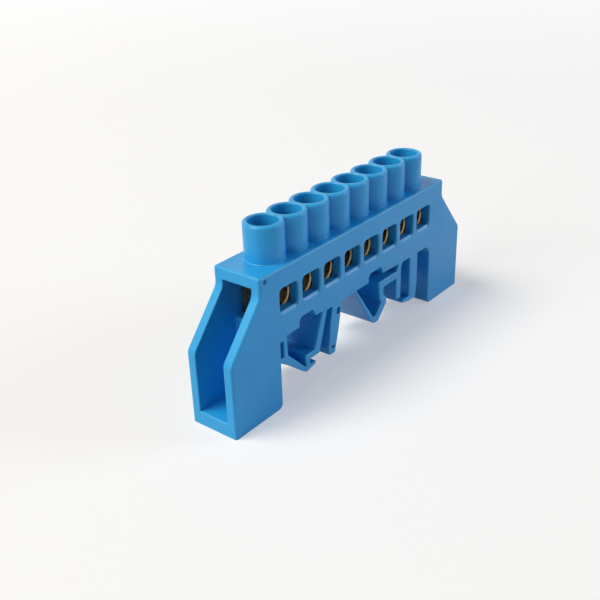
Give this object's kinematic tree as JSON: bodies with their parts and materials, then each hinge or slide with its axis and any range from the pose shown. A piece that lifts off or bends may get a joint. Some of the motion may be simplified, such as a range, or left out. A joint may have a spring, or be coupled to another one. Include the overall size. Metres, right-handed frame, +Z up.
{
  "type": "neutral terminal bar",
  "caption": "Bridge-shaped blue moulded terminal bar on two hollow legs, with screw towers over wire windows, a brass conductor bar inside and clips for a hat rail between the legs.",
  "frame": {"origin": "middle of the bounding box, at the height of the feet", "axes": "+X along the row of terminals from the leg by the fixed hook to the leg by the latch, +Y across the bar along the rail, +Z up through the screw towers"},
  "size_m": [0.0834, 0.0114, 0.0381],
  "materials": {
    "blue_moulding": "moulded, semi-gloss",
    "brass_bar": "sawn and drilled, bright",
    "plated_screw": "zinc plated"
  },
  "bodies": {
    "terminal_bar": {"housing": "blue_moulding", "conductor_bar": "brass_bar"},
    "screw_1": {"terminal_screw_1": "plated_screw"},
    "screw_2": {"terminal_screw_2": "plated_screw"},
    "screw_3": {"terminal_screw_3": "plated_screw"},
    "screw_4": {"terminal_screw_4": "plated_screw"},
    "screw_5": {"terminal_screw_5": "plated_screw"},
    "screw_6": {"terminal_screw_6": "plated_screw"},
    "screw_7": {"terminal_screw_7": "plated_screw"},
    "screw_8": {"terminal_screw_8": "plated_screw"}
  },
  "joints": [
    {"name": "screw_1_travel", "type": "slide", "parent": "terminal_bar", "child": "screw_1", "axis": [0, 0, 1], "range_m": [-0.003, 0]},
    {"name": "screw_2_travel", "type": "slide", "parent": "terminal_bar", "child": "screw_2", "axis": [0, 0, 1], "range_m": [-0.003, 0]},
    {"name": "screw_3_travel", "type": "slide", "parent": "terminal_bar", "child": "screw_3", "axis": [0, 0, 1], "range_m": [-0.003, 0]},
    {"name": "screw_4_travel", "type": "slide", "parent": "terminal_bar", "child": "screw_4", "axis": [0, 0, 1], "range_m": [-0.003, 0]},
    {"name": "screw_5_travel", "type": "slide", "parent": "terminal_bar", "child": "screw_5", "axis": [0, 0, 1], "range_m": [-0.003, 0]},
    {"name": "screw_6_travel", "type": "slide", "parent": "terminal_bar", "child": "screw_6", "axis": [0, 0, 1], "range_m": [-0.003, 0]},
    {"name": "screw_7_travel", "type": "slide", "parent": "terminal_bar", "child": "screw_7", "axis": [0, 0, 1], "range_m": [-0.003, 0]},
    {"name": "screw_8_travel", "type": "slide", "parent": "terminal_bar", "child": "screw_8", "axis": [0, 0, 1], "range_m": [-0.003, 0]}
  ]
}
